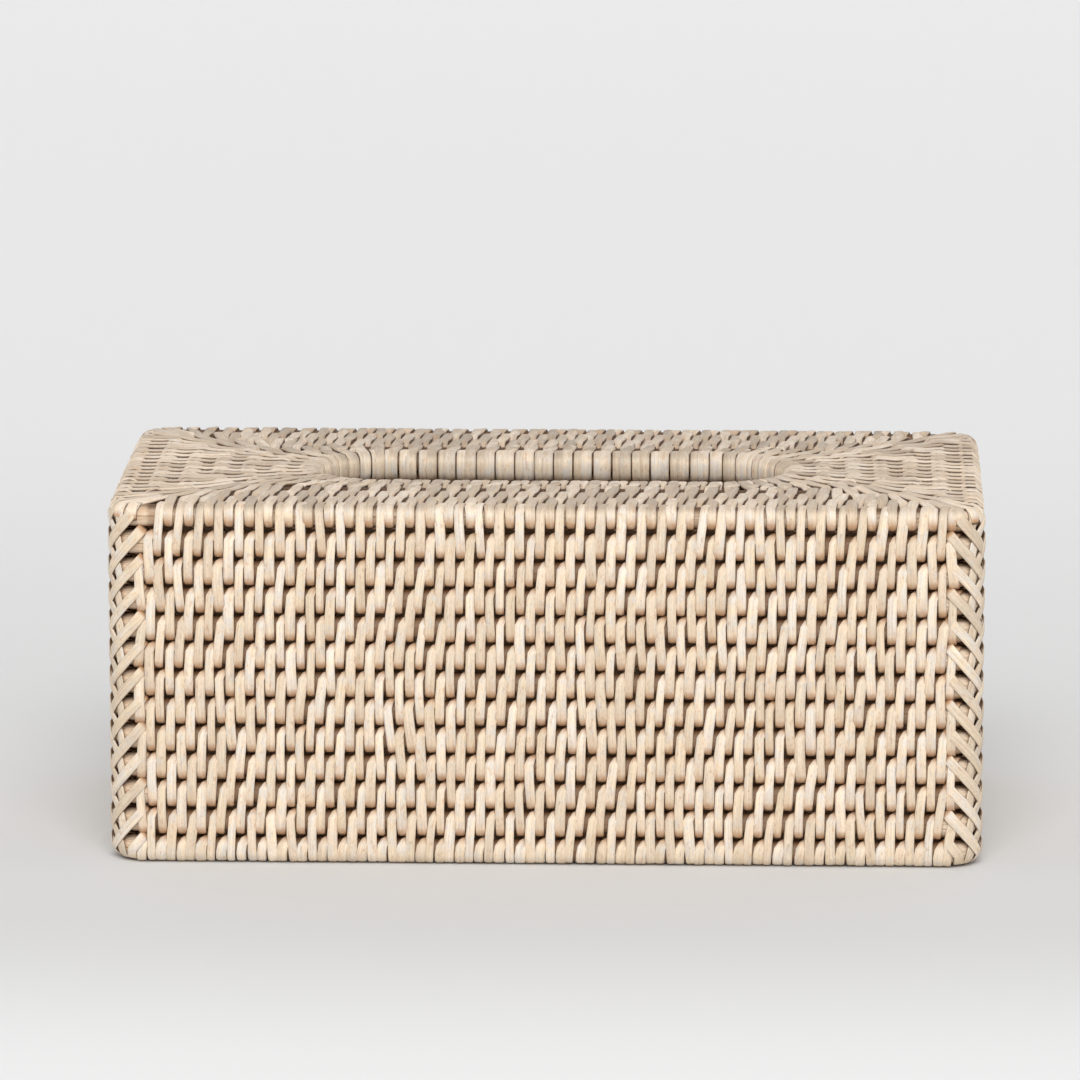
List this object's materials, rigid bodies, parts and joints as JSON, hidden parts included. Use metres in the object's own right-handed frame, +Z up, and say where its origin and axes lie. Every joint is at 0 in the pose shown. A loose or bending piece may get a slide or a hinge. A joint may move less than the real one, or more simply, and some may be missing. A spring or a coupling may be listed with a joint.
{
  "type": "tissue box cover",
  "caption": "Open-bottomed rectangular rattan tissue box cover, peel-bound cane walls, lashed corners and a long rounded slot in its top.",
  "frame": {"origin": "Middle of the footprint, on the surface the cover stands on", "axes": "+X along the length, +Y from the front wall to the back wall, +Z up"},
  "size_m": [0.28, 0.14, 0.1177],
  "materials": {
    "cane": "bare rattan core, matt, fine lengthwise grain",
    "wall_peel": "whitewashed rattan peel, soft satin",
    "top_peel": "whitewashed rattan peel, greyer than the walls",
    "lashing_peel": "whitewashed rattan peel, soft satin"
  },
  "bodies": {
    "root": {"cane_row_01": "cane", "cane_row_02": "cane", "cane_row_03": "cane", "cane_row_04": "cane", "cane_row_05": "cane", "cane_row_06": "cane", "cane_row_07": "cane", "cane_row_08": "cane", "cane_row_09": "cane", "cane_row_10": "cane", "cane_row_11": "cane", "cane_row_12": "cane", "cane_row_13": "cane", "top_cane_1": "cane", "top_cane_2": "cane", "top_cane_3": "cane", "slot_rim_cane": "cane", "end_cane_left_1": "cane", "end_cane_left_2": "cane", "end_cane_right_1": "cane", "end_cane_right_2": "cane", "front_binding": "wall_peel", "back_binding": "wall_peel", "left_binding": "wall_peel", "right_binding": "wall_peel", "top_binding_1": "top_peel", "top_binding_2": "top_peel", "top_binding_3": "top_peel", "end_binding_left_1": "top_peel", "end_binding_left_2": "top_peel", "end_binding_right_1": "top_peel", "end_binding_right_2": "top_peel", "slot_rim_wrapping": "top_peel", "corner_lashing_front_left": "lashing_peel", "corner_lashing_front_right": "lashing_peel", "corner_lashing_back_left": "lashing_peel", "corner_lashing_back_right": "lashing_peel"}
  },
  "joints": []
}
